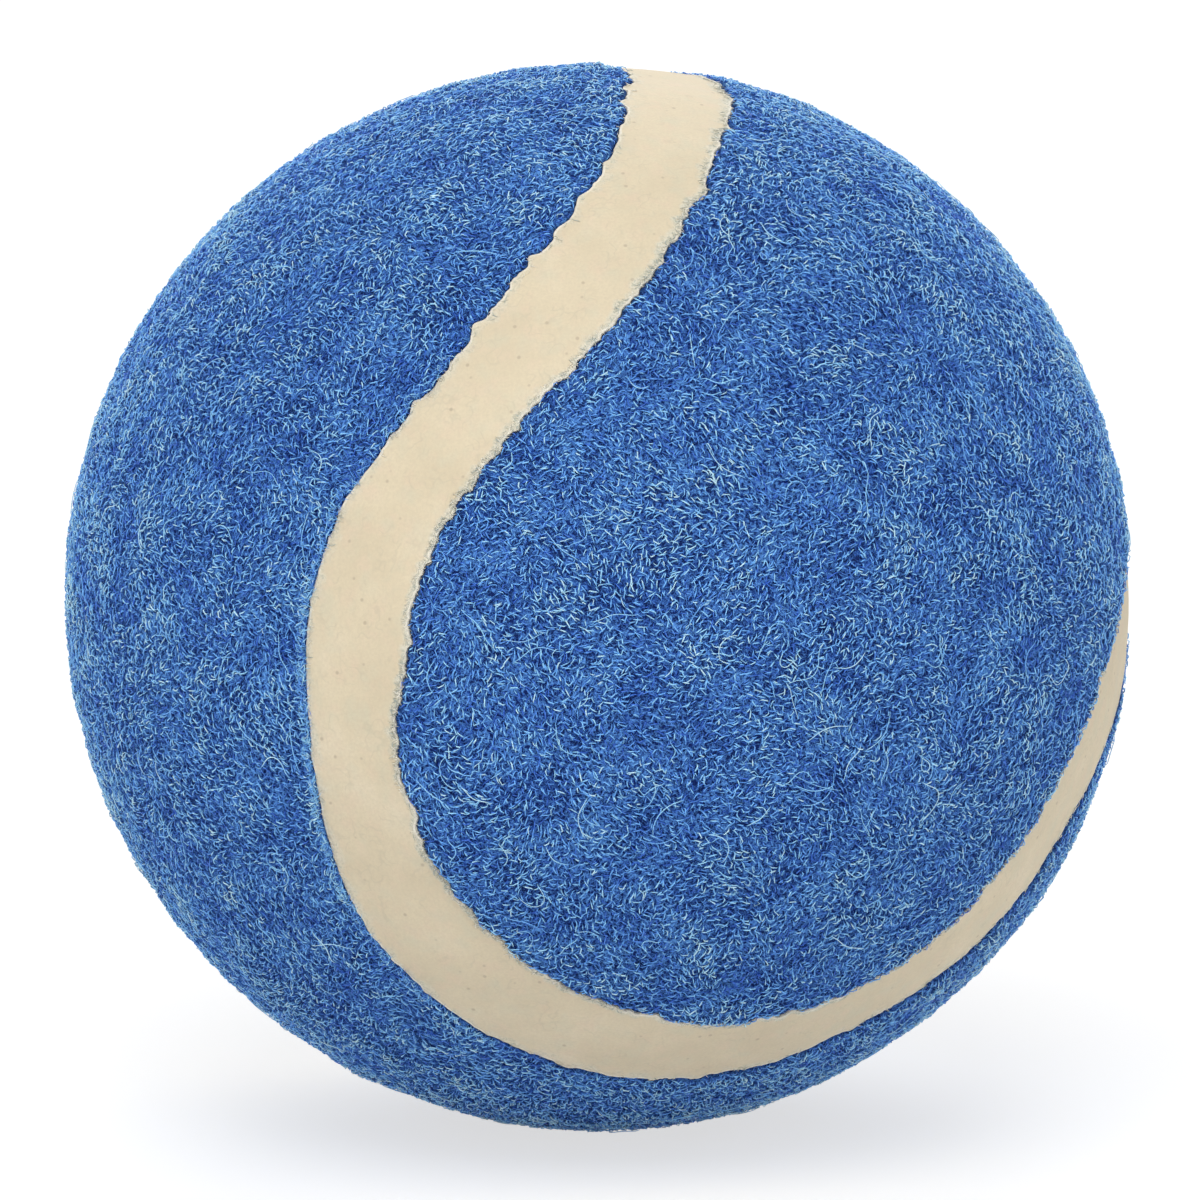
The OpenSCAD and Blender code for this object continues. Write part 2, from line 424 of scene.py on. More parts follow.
def rubber_band(name):
    """The band as one closed loop. Its section runs up beside the left panel's wall, round an
    edge, over the top with low swells and a slightly raised rim, and down beside the right wall.
    The points carry how far they lie from both walls, and from the right one as a share of the
    soaked strip."""
    t = np.linspace(0, 2 * math.pi, STATIONS, endpoint=False)
    bend = np.linspace(0, math.pi / 2, BAND_BENDS + 1)
    radius = np.concatenate([[BACKING_R, (BACKING_R + BAND_R) / 2],
                             BAND_R - BAND_ROUND * (1 - np.sin(bend))])
    inset = BAND_GAP + np.concatenate([[0, 0], BAND_ROUND * (1 - np.cos(bend))])
    on_top = np.concatenate([[0, 0], np.sin(bend)])
    rings = len(radius)
    t_rings = np.repeat(t[:, None], rings, 1)
    left = edge_dir(t_rings, LEFT, -inset)
    right = edge_dir(t_rings, RIGHT, -inset)[:, ::-1]
    share = np.linspace(0, 1, BAND_SPANS + 1)[1:-1]
    share = 0.5 - 0.5 * np.cos(math.pi * share)
    over = between(left[:, -1], right[:, 0], share)
    width = (wall_gap(t, LEFT) + wall_gap(t, RIGHT))[:, None]
    from_edge = np.minimum(share, 1 - share) * width
    rim = BAND_RIM * (1 - smooth(from_edge / BAND_RIM_W))
    edge = radius + BAND_RIM * on_top
    height = np.concatenate([edge + band_swell(left) * on_top, BAND_R + rim + band_swell(over),
                             edge[::-1] + band_swell(right) * on_top[::-1]], 1)
    points = np.concatenate([left, over, right], 1) * height[..., None]
    ids = np.arange(points.shape[0] * points.shape[1]).reshape(points.shape[:2])
    ids = np.concatenate([ids, ids[:, :1]], 1)
    ids = np.concatenate([ids, ids[:1]], 0)
    spread = np.concatenate([np.tile(inset, (STATIONS, 1)), share * width,
                             width - inset[::-1]], 1)
    from_right = width - spread
    values = {"from_left": spread.ravel(), "from_right": from_right.ravel(),
              "soaked": (from_right / soaked_width(t)[:, None]).ravel()}
    return make_piece(name, points.reshape(-1, 3), grid_faces(ids), values=values)


def spread_over_ball(count, rng):
    """Evenly spread directions: a spiral of golden turns, each point shaken by a share of the
    spacing."""
    k = np.arange(count) + 0.5
    z = 1 - 2 * k / count
    turn = k * math.pi * (3 - math.sqrt(5))
    flat = np.sqrt(1 - z ** 2)
    p = np.stack([flat * np.cos(turn), flat * np.sin(turn), z], -1)
    spacing = math.sqrt(4 * math.pi / count)
    return unit(p + rng.normal(scale=NAP_SHAKE * spacing, size=p.shape))


def surface_frame(p):
    """Two directions square to p and to each other, worked out from the Z axis, or from the X axis
    where p lies near the Z axis."""
    helper = np.where(np.abs(p[:, 2:]) < 0.8, [[0.0, 0, 1]], [[1.0, 0, 0]])
    e1 = unit(np.cross(helper, p))
    return e1, np.cross(p, e1)


def outward_angle(root, t):
    """Heading at each root that points straight across the seam."""
    e1, e2 = surface_frame(root)
    across = across_at(t)
    return np.arctan2(np.sum(across * e2, -1), np.sum(across * e1, -1))


def fibre_directions(root, heading, length, bend, curl, segments):
    """Directions along each fibre: from its middle at the root it runs over the ball, and its
    heading turns by bend per millimetre and sways by curl in one wave along its length."""
    s = (np.arange(segments) + 0.5) / segments
    turn = (heading[:, None] + (bend * length)[:, None] * (s - 0.5)
            + curl[:, None] * np.sin(2 * math.pi * s))
    step = (length / segments)[:, None]
    x = np.cumsum(np.cos(turn) * step, 1)
    y = np.cumsum(np.sin(turn) * step, 1)
    x, y = (np.concatenate([np.zeros((len(root), 1)), v], 1) for v in (x, y))
    x, y = (v - v.mean(1, keepdims=True) for v in (x, y))
    e1, e2 = surface_frame(root)
    return unit(root[:, None] + (x[..., None] * e1[:, None] + y[..., None] * e2[:, None]) / BALL_R)


def tube_template(segments):
    """Faces of a three-sided tube with pointed ends, as point numbers, and each corner's place
    along and round the tube. Point 0 is the first tip and the last point is the other."""
    rings = segments - 1
    ring = 1 + 3 * np.arange(rings)[:, None] + np.arange(3)
    tip = 1 + 3 * rings
    faces, places = [], []
    for k in range(3):
        n = (k + 1) % 3
        faces.append([0, ring[0, k], ring[0, n]])
        places.append([(0, k + 0.5), (1, k), (1, k + 1)])
        for m in range(rings - 1):
            faces += [[ring[m, k], ring[m + 1, k], ring[m + 1, n]],
                      [ring[m, k], ring[m + 1, n], ring[m, n]]]
            places += [[(m + 1, k), (m + 2, k), (m + 2, k + 1)],
                       [(m + 1, k), (m + 2, k + 1), (m + 1, k + 1)]]
        faces.append([ring[-1, k], tip, ring[-1, n]])
        places.append([(rings, k), (segments, k + 0.5), (rings, k + 1)])
    return np.array(faces), np.array(places) / [segments, 3]


def fibre_piece(name, path, radius, twist, tone):
    """Many fibres as one piece: round each path of points goes a three-sided tube that is thickest
    at its middle and ends in two points. Each fibre has its own cell of the UV map."""
    count, knots = path.shape[:2]
    segments = knots - 1
    tangent = unit(path[:, 2:] - path[:, :-2])
    up = unit(path[:, 1:-1])
    side = unit(np.cross(tangent, up))
    up = np.cross(side, tangent)
    s = np.arange(1, segments) / segments
    thick = radius[:, None] * (4 * s * (1 - s)) ** FIBRE_TAPER
    angle = twist[:, None] + np.arange(3) * 2 * math.pi / 3
    ring = (np.cos(angle)[:, None, :, None] * up[:, :, None]
            + np.sin(angle)[:, None, :, None] * side[:, :, None])
    ring = path[:, 1:-1, None] + ring * thick[..., None, None]
    points = np.concatenate([path[:, :1], ring.reshape(count, -1, 3), path[:, -1:]], 1)
    template, places = tube_template(segments)
    faces = (template[None] + points.shape[1] * np.arange(count)[:, None, None]).reshape(-1, 3)
    cells = math.ceil(math.sqrt(count))
    corner = np.stack([np.arange(count) % cells, np.arange(count) // cells], -1)
    uv = (corner[:, None, None] + CELL_MARGIN + (1 - 2 * CELL_MARGIN) * places[None]) / cells
    values = {"tone": np.repeat(tone, points.shape[1])}
    return make_piece(name, points.reshape(-1, 3), faces, uv, values)


def combing(p):
    """Angle in which the nap leans at each direction p, from two seeded sums of slow waves."""
    rng = np.random.default_rng(COMBING_SEED)
    heading = unit(rng.normal(size=(2, COMBING_WAVES, 3)))
    count = 2 * math.pi * BALL_R / rng.uniform(*COMBING_SPAN, (2, COMBING_WAVES, 1))
    start = rng.uniform(0, 2 * math.pi, (2, COMBING_WAVES))
    waves = [np.sin(p @ (heading[k] * count[k]).T + start[k]).sum(-1) for k in range(2)]
    return np.arctan2(waves[0], waves[1])


def nap_roots(side, rng):
    """Where the nap's fibres of one panel stand: evenly over it, and then the brushed ones along
    their stretch of its edge. The second value is where along the seam the brushed ones stand."""
    root = spread_over_ball(NAP_FIBRES, rng)
    on_side, setback, _ = place_on_cover(root)
    root = root[(on_side == side) & (setback > NAP_CLEAR)]
    brushed_t = rng.normal(BRUSHED_AT, BRUSHED_SPREAD, BRUSHED_FIBRES if side == LEFT else 0)
    brushed_root = edge_dir(brushed_t, side, rng.uniform(*BRUSHED_SETBACK, len(brushed_t)))
    return np.concatenate([root, brushed_root]), brushed_t


def kept_off_band(side, root, reach, heading, length, bend, curl):
    """Roots of one panel's fibres, and directions along them. A fibre that would lie further over
    the band than its reach is moved back onto the felt, in two rounds."""
    direction = fibre_directions(root, heading, length, bend, curl, NAP_SEGMENTS)
    for _ in range(2):
        _, behind, t = place_on_cover(root)
        near = np.nonzero(behind < NAP_LENGTH[1])[0]
        sides, backs, _ = place_on_cover(direction[near].reshape(-1, 3))
        backs = np.where(sides == side, backs, -backs - BAND_W).reshape(len(near), -1)
        short = np.maximum(0, -reach[near] - backs.min(1))
        inward = side * across_at(t[near])
        root[near] = unit(root[near] + inward * (short / BALL_R)[:, None])
        direction[near] = fibre_directions(root[near], heading[near], length[near], bend[near],
                                           curl[near], NAP_SEGMENTS)
    return root, direction


def felt_nap(side):
    """The nap of one panel: curled fibres whose ends sink into the felt and whose middles arch
    over it. Most follow the combing, some lie any way, and the brushed ones head out over the
    band. How far a fibre may reach over the band is a power of a random share, so most stay on
    the felt."""
    rng = np.random.default_rng(NAP_SEED + side)
    root, brushed_t = nap_roots(side, rng)
    count = len(root)
    brushed = np.arange(count) >= count - len(brushed_t)
    length = rng.uniform(*NAP_LENGTH, count)
    bend = rng.normal(scale=NAP_BEND, size=count)
    curl = rng.normal(scale=NAP_CURL, size=count)
    combed = rng.random(count) < COMBED_SHARE
    heading = np.where(combed, combing(root) + rng.normal(scale=COMBED_STRAY, size=count),
                       rng.uniform(0, 2 * math.pi, count))
    stray = rng.normal(scale=BRUSHED_STRAY, size=len(brushed_t))
    heading[brushed] = outward_angle(root[brushed], brushed_t) + stray
    share = rng.uniform(0, 1, count)
    reach = share ** 3 * NAP_OVERHANG + share ** 1.5 * BRUSHED_OVERHANG * brushed
    root, direction = kept_off_band(side, root, reach, heading, length, bend, curl)
    _, backs, _ = place_on_cover(direction.reshape(-1, 3))
    backs = backs.reshape(direction.shape[:2])
    s = np.linspace(0, 1, NAP_SEGMENTS + 1)
    skew = rng.uniform(*NAP_SKEW, count)[:, None]
    arch = np.sin(math.pi * s ** skew)
    rise = rng.uniform(*NAP_RISE, count)
    over_band = BAND_R + NAP_SINK + NAP_OVER_BAND + BRUSHED_LIFT * brushed[:, None]
    ground = np.where(backs < 0, np.maximum(lip_radius(backs), over_band),
                      lip_radius(backs)) + lumps(direction)
    path = direction * (ground - NAP_SINK + rise[:, None] * arch)[..., None]
    radius = rng.uniform(*NAP_RADIUS, count) * np.where(brushed, BRUSHED_FINENESS, 1)
    tone = np.clip(NAP_TONE + NAP_TONE_SPREAD * rng.normal(size=count), 0, NAP_TONE_MOST)
    # The palest fibres are painted glints
    tone[rng.random(count) < GLINT_SHARE] = 1
    _, _, t = place_on_cover(root)
    # Fibres near the cut edge are darkened: painted shade of the crevice, less where the edge is
    # brushed out
    dark = NAP_EDGE_SHADE * (1 - brushed_share(t, side))
    tone -= dark * (1 - smooth(backs.mean(1) / NAP_EDGE_W))
    twist = rng.uniform(0, 2 * math.pi, count)
    name = {LEFT: "nap_left", RIGHT: "nap_right"}[side]
    return [fibre_piece(f"{name}_{k + 1}", path[k::NAP_PARTS], radius[k::NAP_PARTS],
                        twist[k::NAP_PARTS], tone[k::NAP_PARTS]) for k in range(NAP_PARTS)]


def loose_fibres(name, side):
    """Long pale fibres of one panel, which lie loosely on its nap with both ends in it. Only those
    that stay clear of the band are kept."""
    rng = np.random.default_rng(LOOSE_SEED + side)
    root = unit(rng.normal(size=(LOOSE_FIBRES, 3)))
    length = rng.uniform(*LOOSE_LENGTH, LOOSE_FIBRES)
    heading = combing(root) + rng.normal(scale=LOOSE_STRAY, size=LOOSE_FIBRES)
    bend = rng.normal(scale=LOOSE_BEND, size=LOOSE_FIBRES)
    curl = rng.normal(scale=LOOSE_CURL, size=LOOSE_FIBRES)
    direction = fibre_directions(root, heading, length, bend, curl, LOOSE_SEGMENTS)
    sides, backs, _ = place_on_cover(direction.reshape(-1, 3))
    kept = ((sides == side) & (backs > LOOSE_CLEAR)).reshape(direction.shape[:2]).all(1)
    direction = direction[kept]
    count = len(direction)
    s = np.linspace(0, 1, LOOSE_SEGMENTS + 1)
    arch = np.minimum(1, LOOSE_STEEPNESS * np.sin(math.pi * s))
    rise = rng.uniform(*LOOSE_RISE, count)[:, None]
    path = direction * (GROUND_R + lumps(direction) + arch * rise)[..., None]
    return fibre_piece(name, path, rng.uniform(*LOOSE_RADIUS, count),
                       rng.uniform(0, 2 * math.pi, count), rng.uniform(*LOOSE_TONE, count))


def soaked_fringe(name, side):
    """Short fibres along one edge of the band, soaked in its rubber: they lie half sunk in the
    band's rim, at a slant to it, and climb onto the felt where they reach it. Most stand close
    to the edge."""
    rng = np.random.default_rng(FRINGE_SEED + side)
    count = int(FRINGE_PER_MM[side] * BALL_R * SEAM_LENGTH_SHARE)
    t = rng.uniform(0, 2 * math.pi, count)
    length = rng.uniform(*FRINGE_LENGTH, count)
    inset = rng.uniform(0, 1, count) ** 1.5 * FRINGE_STRIP_SHARE * soaked_width(t)
    root = edge_dir(t, side, -FRINGE_INSET - inset)
    heading = outward_angle(root, t) + rng.normal(scale=FRINGE_STRAY, size=count)
    bend = rng.normal(scale=FRINGE_BEND, size=count)
    curl = rng.normal(scale=FRINGE_CURL, size=count)
    direction = fibre_directions(root, heading, length, bend, curl, FRINGE_SEGMENTS)
    _, backs, _ = place_on_cover(direction.reshape(-1, 3))
    backs = backs.reshape(direction.shape[:2])
    over_felt = smooth((backs + CLIMB_START) / CLIMB_W)
    height = (BAND_R + BAND_RIM) * (1 - over_felt) + (lip_radius(backs) + CLIMB_H) * over_felt
    s = np.linspace(0, 1, FRINGE_SEGMENTS + 1)
    arch = rng.uniform(*FRINGE_ARCH, count)[:, None] * np.sin(math.pi * s) - FRINGE_SINK
    path = direction * (height + arch)[..., None]
    return fibre_piece(name, path, rng.uniform(*FRINGE_RADIUS, count),
                       rng.uniform(0, 2 * math.pi, count), rng.random(count))


# Colours of the finishes, in linear red, green and blue
FELT_NAVY = (0.006, 0.021, 0.125)
FELT_BLUE = (0.026, 0.097, 0.43)
FELT_PALE = (0.13, 0.36, 0.83)
# Painted shade of the felt beside its cut edge
FELT_EDGE_SHADE = (0.004, 0.014, 0.06)
NAP_DEEP = (0.045, 0.162, 0.68)
NAP_BLUE = (0.17, 0.485, 1.0)
NAP_PALE = (0.34, 0.71, 1.0)
# Painted glint colour at the palest end of the nap's colours
NAP_PALEST_GLINT = (0.58, 0.87, 1.0)
CREAM_DEEP = (0.66, 0.56, 0.39)
CREAM = (0.72, 0.62, 0.44)
CREAM_PALE = (0.77, 0.67, 0.50)
# Palest cream of the soaked fibres, and the painted highlight on the band's lips
CREAM_PALEST_AND_LIP_HIGHLIGHT = (0.88, 0.84, 0.73)
STAIN_WARM = (0.74, 0.58, 0.43)
STAIN_GREENISH = (0.62, 0.60, 0.45)
SPECK_BROWN = (0.38, 0.29, 0.2)
SCRATCH_BROWN = (0.5, 0.44, 0.32)
GRAIN_BROWN = (0.56, 0.47, 0.33)
MATTED_GREY = (0.42, 0.46, 0.39)
MATTED_PALE = (0.76, 0.73, 0.61)
SOAKED_GREY = (0.42, 0.48, 0.46)
SOAKED_CREAM = (0.68, 0.66, 0.54)
# Two shades for each rubber out of sight
CORE_SHADES = ((0.018, 0.018, 0.019), (0.045, 0.045, 0.047))
CEMENT_SHADES = ((0.40, 0.31, 0.17), (0.52, 0.42, 0.26))
BACKING_SHADES = ((0.50, 0.44, 0.33), (0.60, 0.54, 0.43))


class Finish:
    """A material and short ways to add its nodes. Patterns are placed by Object coordinates, whose
    Mapping turns metres into millimetres, so that a scale is in waves per millimetre."""

    def __init__(self, name, roughness):
        self.material = bpy.data.materials.new(name)
        self.material.use_nodes = True
        self.nodes = self.material.node_tree.nodes
        self.links = self.material.node_tree.links
        self.shader = self.nodes["Principled BSDF"]
        self.shader.inputs["Roughness"].default_value = roughness
        place = self.nodes.new("ShaderNodeTexCoord")
        mapping = self.nodes.new("ShaderNodeMapping")
        mapping.inputs["Scale"].default_value = (1 / MM,) * 3
        self.links.new(place.outputs["Object"], mapping.inputs["Vector"])
        self.place = mapping.outputs["Vector"]

    def put(self, value, socket):
        """Links a node's output into the socket, or sets the socket to a plain value."""
        if isinstance(value, bpy.types.NodeSocket):
            self.links.new(value, socket)
        else:
            socket.default_value = value

    def noise(self, scale, detail=2.0, roughness=0.5, distortion=0.0, shift=0.0):
        """Soft noise from 0 to 1. Another shift gives another pattern of the same kind."""
        node = self.nodes.new("ShaderNodeTexNoise")
        node.inputs["Scale"].default_value = scale
        node.inputs["Detail"].default_value = detail
        node.inputs["Roughness"].default_value = roughness
        node.inputs["Distortion"].default_value = distortion
        moved = self.nodes.new("ShaderNodeVectorMath")
        moved.inputs[1].default_value = (shift, -shift, 0.5 * shift)
        self.links.new(self.place, moved.inputs[0])
        self.links.new(moved.outputs["Vector"], node.inputs["Vector"])
        return node.outputs["Fac"]

    def radius(self):
        """Distance from the centre of the ball in millimetres."""
        node = self.nodes.new("ShaderNodeVectorMath")
        node.operation = "LENGTH"
        self.links.new(self.place, node.inputs[0])
        return node.outputs["Value"]

    def specks(self, scale, size):
        """1 within size of scattered points and 0 past twice that, as a share of their spacing."""
        node = self.nodes.new("ShaderNodeTexVoronoi")
        node.inputs["Scale"].default_value = scale
        self.links.new(self.place, node.inputs["Vector"])
        return self.remap(node.outputs["Distance"], size, 2 * size, 1, 0)

    def math(self, operation, a, b=0.0):
        """The result of one sum, product or the like of two values."""
        node = self.nodes.new("ShaderNodeMath")
        node.operation = operation
        self.put(a, node.inputs[0])
        self.put(b, node.inputs[1])
        return node.outputs["Value"]

    def remap(self, value, from_low, from_high, to_low, to_high):
        """The value carried from one range to another, and held at its ends."""
        node = self.nodes.new("ShaderNodeMapRange")
        for key, number in (("From Min", from_low), ("From Max", from_high),
                            ("To Min", to_low), ("To Max", to_high)):
            node.inputs[key].default_value = number
        self.links.new(value, node.inputs["Value"])
        return node.outputs["Result"]

    def threads(self, scale, shift, distortion=0.8):
        """Curled lines of one width at any scale: 1 where a distorted noise passes its middle
        value, falling off on both sides."""
        wave = self.noise(scale, 1.0, 0.4, distortion, shift)
        off = self.math("ABSOLUTE", self.math("SUBTRACT", wave, 0.5))
        return self.remap(off, 0.0, 0.04 * scale, 1, 0)

    def attribute(self, name):
        """A value that the piece's own points carry."""
        node = self.nodes.new("ShaderNodeAttribute")
        node.attribute_name = name
        return node.outputs["Fac"]

    def ramp(self, value, *stops):
        """Colour by value: each stop is its place and its linear colour."""
        node = self.nodes.new("ShaderNodeValToRGB")
        bar = node.color_ramp.elements
        while len(bar) < len(stops):
            bar.new(0.5)
        for element, (place, colour) in zip(bar, stops):
            element.position = place
            element.color = (*colour, 1)
        self.links.new(value, node.inputs["Fac"])
        return node.outputs["Color"]

    def mix(self, share, a, b):
        """Colour a with a share of colour b laid over it."""
        node = self.nodes.new("ShaderNodeMix")
        node.data_type = "RGBA"
        self.put(share, node.inputs["Factor"])
        for key, colour in (("A", a), ("B", b)):
            socket = [s for s in node.inputs if s.name == key and s.type == "RGBA"][0]
            self.put(colour if isinstance(colour, bpy.types.NodeSocket) else (*colour, 1), socket)
        return [s for s in node.outputs if s.type == "RGBA"][0]

    def bump(self, height, strength, depth_mm):
        """Fine relief: height 1 stands depth_mm over height 0."""
        node = self.nodes.new("ShaderNodeBump")
        node.inputs["Strength"].default_value = strength
        node.inputs["Distance"].default_value = depth_mm * MM
        self.links.new(height, node.inputs["Height"])
        self.links.new(node.outputs["Normal"], self.shader.inputs["Normal"])

    def done(self, colour, roughness=None, **sockets):
        """The finished material. Sockets are plain values set on the shader's other sockets, whose
        names are written with _ for a space."""
        self.put(colour, self.shader.inputs["Base Color"])
        if roughness is not None:
            self.links.new(roughness, self.shader.inputs["Roughness"])
        for key, value in sockets.items():
            self.shader.inputs[key.replace("_", " ")].default_value = value
        return self.material


def felt_ground_finish():
    """Matted felt under the nap: three layers of curled threads, pale over navy, with soft
    mottling. Beside its cut edge it is darkened with painted shade of the crevice."""
    f = Finish("felt ground", 0.85)
    web = f.math("MAXIMUM", f.threads(2.1, 0), f.threads(2.7, 37))
    web = f.math("MAXIMUM", web, f.threads(3.3, 71))
    mottle = f.remap(f.noise(0.33, 3.0), 0.3, 0.7, -0.15, 0.15)
    tone = f.math("ADD", web, mottle)
    colour = f.ramp(tone, (0.2, FELT_NAVY), (0.65, FELT_BLUE), (1.0, FELT_PALE))
    # Painted shade beside the cut edge, where the crevice to the band lies
    edge = f.remap(f.attribute("behind"), 0.1, 0.35, 0.4, 0)
    colour = f.mix(edge, colour, FELT_EDGE_SHADE)
    f.bump(web, 1.0, 0.12)
    return f.done(colour, Specular_IOR_Level=0.1)


def nap_finish():
    """Single fibres of the nap: each has its own depth of dye and is paler the higher it stands,
    which is painted shade deep in the nap and painted light on its tips. Its palest colour is a
    painted glint. Soft mottling lies over the felt, with a fine change of gloss along the fibre."""
    f = Finish("nap fibre", 0.42)
    mottle = f.remap(f.noise(0.3, 3.0), 0.3, 0.7, -0.18, 0.18)
    tone = f.math("ADD", f.attribute("tone"), mottle)
    # Painted shade low in the nap and painted light on its tips
    tone = f.math("ADD", tone, f.remap(f.radius(), GROUND_R, BALL_R, -0.3, 0.32))
    colour = f.ramp(tone, (0.0, NAP_DEEP), (0.4, NAP_BLUE), (0.75, NAP_PALE), (1.0, NAP_PALEST_GLINT))
    gloss = f.remap(f.noise(3.0), 0.3, 0.7, 0.25, 0.5)
    return f.done(colour, gloss, Specular_IOR_Level=0.35)


def band_finish():
    """Smooth, matt, cream rubber: broad deep and pale patches, small warm and greenish stains, a
    few dark specks and faint scratches. Along its edges it is matted with soaked fibres, and its
    lips carry a painted highlight in places. A fine grain covers all of it."""
    f = Finish("cream rubber", 0.62)
    patches = f.noise(0.22, 4.0, 0.6)
    colour = f.ramp(patches, (0.3, CREAM_DEEP), (0.55, CREAM), (0.75, CREAM_PALE))
    for scale, shift, stain in ((0.9, 5, STAIN_WARM), (0.7, 17, STAIN_GREENISH)):
        stained = f.remap(f.noise(scale, 2.0, 0.5, 0, shift), 0.5, 0.75, 0, 0.45)
        colour = f.mix(stained, colour, stain)
    colour = f.mix(f.math("MULTIPLY", f.specks(0.8, 0.06), 0.55), colour, SPECK_BROWN)
    scratched = f.remap(f.noise(0.5, 2.0), 0.5, 0.6, 0, 0.3)
    scratches = f.math("MULTIPLY", f.threads(1.2, 53, 0.2), scratched)
    colour = f.mix(scratches, colour, SCRATCH_BROWN)
    stray = f.remap(f.noise(0.8, 4.0, 0.6), 0.3, 0.7, -0.55, 0.55)
    hairs = f.math("MAXIMUM", f.threads(2.6, 13), f.threads(3.4, 29))
    matted_colour = f.ramp(hairs, (0.1, MATTED_GREY), (0.9, MATTED_PALE))
    matted = f.remap(f.math("ADD", f.attribute("soaked"), stray), 0.5, 1.2, 0.85, 0)
    matted_left = f.remap(f.math("ADD", f.attribute("from_left"), stray), 0.1, 0.6, 0.5, 0)
    matted = f.math("MAXIMUM", matted, matted_left)
    colour = f.mix(matted, colour, matted_colour)
    # Painted highlight along the band's lips, broken into patches
    lip_highlight_patches = f.remap(f.noise(0.4, 3.0), 0.35, 0.55, 0.1, 1)
    for edge in ("from_left", "from_right"):
        lip = f.remap(f.attribute(edge), 0.08, 0.15, 0.8, 0)
        colour = f.mix(f.math("MULTIPLY", lip, lip_highlight_patches), colour, CREAM_PALEST_AND_LIP_HIGHLIGHT)
    grain = f.noise(6.0, 3.0, 0.6)
    colour = f.mix(f.remap(grain, 0.35, 0.65, 0, 0.3), colour, GRAIN_BROWN)
    height = f.math("ADD", f.math("MULTIPLY", grain, 0.35), f.noise(0.9, 2.0))
    height = f.math("ADD", height, f.math("MULTIPLY", matted, hairs))
    f.bump(height, 0.6, 0.05)
    return f.done(colour, f.remap(patches, 0.3, 0.7, 0.55, 0.72))


def fringe_finish():
    """Fibres soaked in the band's rubber: cream with some of the felt's blue showing through."""
    f = Finish("soaked fibre", 0.6)
    tone = f.math("ADD", f.attribute("tone"), f.remap(f.noise(0.8), 0.3, 0.7, -0.3, 0.3))
    colour = f.ramp(tone, (0.0, SOAKED_GREY), (0.4, SOAKED_CREAM), (0.8, CREAM_PALEST_AND_LIP_HIGHLIGHT))
    return f.done(colour, f.remap(f.noise(4.0), 0.3, 0.7, 0.5, 0.7))


def rubber_finish(name, dark, light, roughness):
    """Moulded or brushed rubber out of sight under the cover: two shades in soft patches, with a
    fine grain."""
    f = Finish(name, roughness)
    colour = f.ramp(f.noise(0.4, 4.0, 0.6), (0.3, dark), (0.7, light))
    f.bump(f.noise(5.0, 3.0), 0.3, 0.05)
    return f.done(colour, f.remap(f.noise(1.2), 0.3, 0.7, roughness - 0.08, roughness + 0.08))


def dress(piece, material):
    """Gives the piece this one material."""
    piece.data.materials.clear()
    piece.data.materials.append(material)


# The photograph's view: level turn 0, looking down a little, from twenty radii away. The ball's
# radius and centre there are in pixels of the photograph
VIEW_ELEVATION = math.radians(10)
VIEW_DISTANCE = 20 * BALL_R * MM
PHOTO_PIXELS = 1200
BALL_R_PIXELS = 535.7
BALL_CENTRE_PIXELS = (599.2, 596.5)

# The studio, in metres: how far the soft lights stand, and for each its name, direction, size and
# level, then the even light from all round
LIGHT_DISTANCE = 0.7
SOFT_LIGHTS = (
    ("front softbox", (-0.1, -0.8, 1.15), 0.5, 0.62),
    ("top softbox", (-0.05, 1.0, 0.95), 0.5, 0.4),
    ("left fill", (-0.85, -0.6, 0.0), 0.3, 0.22),
    ("right fill", (0.85, -0.6, 0.0), 0.3, 0.23),
)
WORLD_LEVEL = 0.34
# The floor: half its width in metres, its gap below the ball in millimetres, how pale it is for
# light that bounces off it, and where it is seen, its share of light and shadow and its own white
FLOOR_HALF_W = 4.0
FLOOR_GAP = 0.02
FLOOR_PALE = 0.95
FLOOR_SHADED = 0.45
FLOOR_WHITE = 0.66


def add_camera():
    """Camera whose lens shows the ball as wide as the photograph does, and whose shift puts the
    ball's centre where it is there."""
    data = bpy.data.cameras.new("view")
    half_width = math.tan(math.asin(BALL_R * MM / VIEW_DISTANCE))
    data.lens = data.sensor_width * (BALL_R_PIXELS / PHOTO_PIXELS) / half_width
    data.shift_x = 0.5 - BALL_CENTRE_PIXELS[0] / PHOTO_PIXELS
    data.shift_y = BALL_CENTRE_PIXELS[1] / PHOTO_PIXELS - 0.5
    camera = bpy.data.objects.new("view", data)
    camera.location = (0, -VIEW_DISTANCE * math.cos(VIEW_ELEVATION),
                       VIEW_DISTANCE * math.sin(VIEW_ELEVATION))
    camera.rotation_euler = (math.pi / 2 - VIEW_ELEVATION, 0, 0)
    bpy.context.scene.collection.objects.link(camera)
    bpy.context.scene.camera = camera


def add_soft_light(name, direction, size, level):
    """Square soft light along the direction, facing the ball. level is how bright a white surface
    facing it renders."""
    data = bpy.data.lights.new(name, "AREA")
    data.size = size
    data.energy = level * math.pi ** 2 * LIGHT_DISTANCE ** 2
    light = bpy.data.objects.new(name, data)
    light.location = Vector(direction).normalized() * LIGHT_DISTANCE
    light.rotation_euler = Vector(direction).to_track_quat("Z", "Y").to_euler()
    bpy.context.scene.collection.objects.link(light)


def background_rays(tree):
    """1 for rays that should see a white background: from the camera, and gloss and glass."""
    path = tree.nodes.new("ShaderNodeLightPath")
    most = path.outputs["Is Camera Ray"]
    for key in ("Is Glossy Ray", "Is Transmission Ray"):
        node = tree.nodes.new("ShaderNodeMath")
        node.operation = "MAXIMUM"
        tree.links.new(most, node.inputs[0])
        tree.links.new(path.outputs[key], node.inputs[1])
        most = node.outputs["Value"]
    return most


